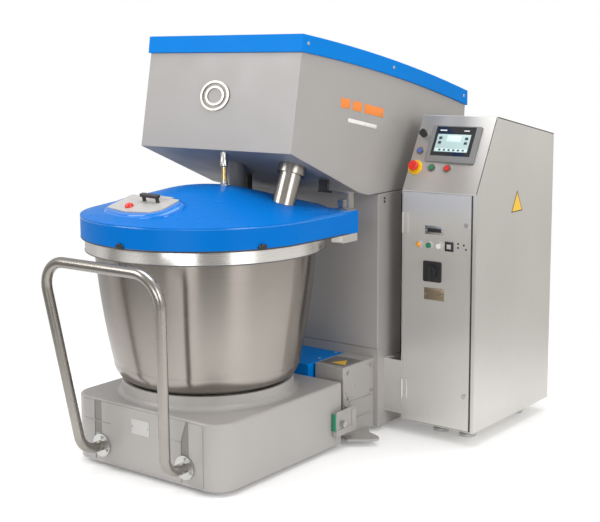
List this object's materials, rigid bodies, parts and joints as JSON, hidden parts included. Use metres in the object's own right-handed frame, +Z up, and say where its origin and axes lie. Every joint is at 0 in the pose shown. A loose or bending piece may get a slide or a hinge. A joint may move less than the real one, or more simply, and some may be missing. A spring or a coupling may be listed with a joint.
{
  "type": "industrial spiral dough mixer",
  "caption": "Floor-standing spiral dough mixer with a lifting head, a rotating stainless bowl on a docked push trolley and a side control cabinet.",
  "frame": {"origin": "centre of the whole machine's footprint, on the floor", "axes": "+Z up, -Y towards the operator who pushes the trolley, +X towards the control cabinet"},
  "size_m": [1.274, 1.9045, 1.6122],
  "materials": {
    "grey_paint": "satin",
    "blue_paint": "gloss",
    "blue_lid": "gloss",
    "brushed_stainless": "brushed",
    "polished_stainless": "polished",
    "zinc_steel": "satin",
    "machined_steel": "machined",
    "motor_paint": "satin",
    "hatch_grey": "satin",
    "black_plastic": "matte",
    "screen": "gloss",
    "red_plastic": "gloss",
    "yellow_plastic": "gloss",
    "green_plastic": "gloss",
    "blue_plastic": "gloss",
    "white_plastic": "gloss",
    "amber_plastic": "gloss",
    "wheel_polyurethane": "matte",
    "belt_rubber": "matte",
    "brass": "satin"
  },
  "bodies": {
    "machine": {"base_arms": "grey_paint", "tunnel_cover": "blue_paint", "levelling_feet": "zinc_steel", "column_shell": "grey_paint", "column_front_panel": "grey_paint", "hinge_pin": "machined_steel", "lift_cylinder": "zinc_steel", "duct_box": "brushed_stainless", "bowl_gearmotor": "motor_paint", "trolley_body": "grey_paint", "handle_flanges": "zinc_steel", "push_handle": "polished_stainless", "machine_bolts": "zinc_steel", "latch_box": "grey_paint", "cabinet_shell": "brushed_stainless", "hmi_frame": "hatch_grey", "hmi_screen": "screen", "estop_collar": "yellow_plastic", "button_bezels": "polished_stainless"},
    "lift_ram": {"lift_rod": "polished_stainless"},
    "bowl_drive": {"bowl_pinion": "machined_steel"},
    "bowl_turntable": {"bowl": "brushed_stainless", "bowl_rim_band": "brushed_stainless", "ring_gear": "machined_steel"},
    "fork_left": {"caster_fork_left": "zinc_steel"},
    "fork_right": {"caster_fork_right": "zinc_steel"},
    "wheel_front_left": {"front_wheel_left": "wheel_polyurethane"},
    "wheel_front_right": {"front_wheel_right": "wheel_polyurethane"},
    "wheel_rear_left": {"rear_wheel_left": "wheel_polyurethane"},
    "wheel_rear_right": {"rear_wheel_right": "wheel_polyurethane"},
    "docking_bolt": {"dock_bolt": "zinc_steel"},
    "head": {"hood_shell": "grey_paint", "roof_cover": "blue_paint", "underside_panel": "grey_paint", "head_frame": "grey_paint", "spiral_motor": "motor_paint", "spiral_housing": "machined_steel", "breaker_bar": "brushed_stainless", "feed_pipe": "polished_stainless", "temperature_probe": "brass", "lid_shell": "blue_lid", "lid_bracket": "polished_stainless", "lid_support_box": "brushed_stainless", "drive_belt": "belt_rubber"},
    "spiral": {"spiral_tool": "brushed_stainless", "spiral_pulley": "machined_steel"},
    "motor_shaft": {"motor_pulley": "machined_steel"},
    "hatch": {"lid_hatch": "hatch_grey", "hatch_handle": "black_plastic"},
    "door": {"cabinet_door": "brushed_stainless", "mains_plate": "black_plastic", "pilot_lamp": "amber_plastic"},
    "mains_switch": {"mains_knob": "black_plastic"},
    "green_door_key": {"door_button_green": "green_plastic"},
    "white_door_key": {"door_button_white": "white_plastic"},
    "emergency_stop": {"estop_button": "red_plastic"},
    "start_key": {"start_button": "green_plastic"},
    "stop_key": {"stop_button": "red_plastic"},
    "reset_key": {"reset_button": "blue_plastic"},
    "speed_dial": {"speed_knob": "black_plastic"}
  },
  "joints": [
    {"name": "head_tilt", "type": "hinge", "parent": "machine", "child": "head", "pos_m": [-0.153, 0.87025, 1.01], "axis": [-1, 0, 0], "range_deg": [0, 38]},
    {"name": "lift_ram_slide", "type": "slide", "parent": "machine", "child": "lift_ram", "axis": [0, 0, 1], "range_m": [0, 0.3265]},
    {"name": "bowl_spin", "type": "hinge", "parent": "machine", "child": "bowl_turntable", "pos_m": [-0.165, -0.35475, 0.3], "axis": [0, 0, 1], "continuous": true},
    {"name": "pinion_spin", "type": "hinge", "parent": "machine", "child": "bowl_drive", "pos_m": [-0.165, 0.02325, 0.28], "axis": [0, 0, 1], "continuous": true},
    {"name": "spiral_spin", "type": "hinge", "parent": "head", "child": "spiral", "pos_m": [-0.165, -0.16475, 1], "axis": [0, 0, 1], "continuous": true},
    {"name": "motor_shaft_spin", "type": "hinge", "parent": "head", "child": "motor_shaft", "pos_m": [-0.153, 0.21025, 1.24], "axis": [0, 0, 1], "continuous": true},
    {"name": "hatch_hinge", "type": "hinge", "parent": "head", "child": "hatch", "pos_m": [-0.19587, -0.57437, 1.0257], "axis": [-0.9903, 0.1392, 0], "range_deg": [0, 100]},
    {"name": "door_hinge", "type": "hinge", "parent": "machine", "child": "door", "pos_m": [0.309, 0.29475, 0.528], "axis": [0, 0, -1], "range_deg": [0, 95]},
    {"name": "mains_switch_turn", "type": "hinge", "parent": "door", "child": "mains_switch", "pos_m": [0.446, 0.29525, 0.685], "axis": [0, 1, 0], "range_deg": [0, 90]},
    {"name": "speed_dial_turn", "type": "hinge", "parent": "machine", "child": "speed_dial", "pos_m": [0.335, 0.41425, 1.21453], "axis": [0, 0.8787, -0.4774], "range_deg": [-135, 135]},
    {"name": "docking_bolt_slide", "type": "slide", "parent": "machine", "child": "docking_bolt", "axis": [1, 0, 0], "range_m": [0, 0.022]},
    {"name": "fork_left_swivel", "type": "hinge", "parent": "machine", "child": "fork_left", "pos_m": [-0.397, -0.60875, 0.15], "axis": [0, 0, 1], "continuous": true},
    {"name": "fork_right_swivel", "type": "hinge", "parent": "machine", "child": "fork_right", "pos_m": [0.091, -0.60875, 0.15], "axis": [0, 0, 1], "continuous": true},
    {"name": "wheel_front_left_spin", "type": "hinge", "parent": "fork_left", "child": "wheel_front_left", "pos_m": [-0.397, -0.59475, 0.05], "axis": [1, 0, 0], "continuous": true},
    {"name": "wheel_front_right_spin", "type": "hinge", "parent": "fork_right", "child": "wheel_front_right", "pos_m": [0.091, -0.59475, 0.05], "axis": [1, 0, 0], "continuous": true},
    {"name": "wheel_rear_left_spin", "type": "hinge", "parent": "machine", "child": "wheel_rear_left", "pos_m": [-0.453, -0.10475, 0.05], "axis": [1, 0, 0], "continuous": true},
    {"name": "wheel_rear_right_spin", "type": "hinge", "parent": "machine", "child": "wheel_rear_right", "pos_m": [0.147, -0.10475, 0.05], "axis": [1, 0, 0], "continuous": true},
    {"name": "estop_press", "type": "slide", "parent": "machine", "child": "emergency_stop", "axis": [0, 0.8787, -0.4774], "range_m": [0, 0.005], "stiffness_N_per_m": 800},
    {"name": "start_press", "type": "slide", "parent": "machine", "child": "start_key", "axis": [0, 0.8787, -0.4774], "range_m": [0, 0.004], "stiffness_N_per_m": 600},
    {"name": "stop_press", "type": "slide", "parent": "machine", "child": "stop_key", "axis": [0, 0.8787, -0.4774], "range_m": [0, 0.004], "stiffness_N_per_m": 600},
    {"name": "reset_press", "type": "slide", "parent": "machine", "child": "reset_key", "axis": [0, 0.8787, -0.4774], "range_m": [0, 0.004], "stiffness_N_per_m": 600},
    {"name": "green_door_press", "type": "slide", "parent": "door", "child": "green_door_key", "axis": [0, 1, 0], "range_m": [0, 0.004], "stiffness_N_per_m": 600},
    {"name": "white_door_press", "type": "slide", "parent": "door", "child": "white_door_key", "axis": [0, 1, 0], "range_m": [0, 0.004], "stiffness_N_per_m": 600}
  ],
  "couplings": [
    {"joint": "lift_ram_slide", "follows": "head_tilt", "m_per_rad": 0.4912},
    {"joint": "pinion_spin", "follows": "bowl_spin", "ratio": -4.25},
    {"joint": "motor_shaft_spin", "follows": "spiral_spin", "ratio": 2.5}
  ]
}
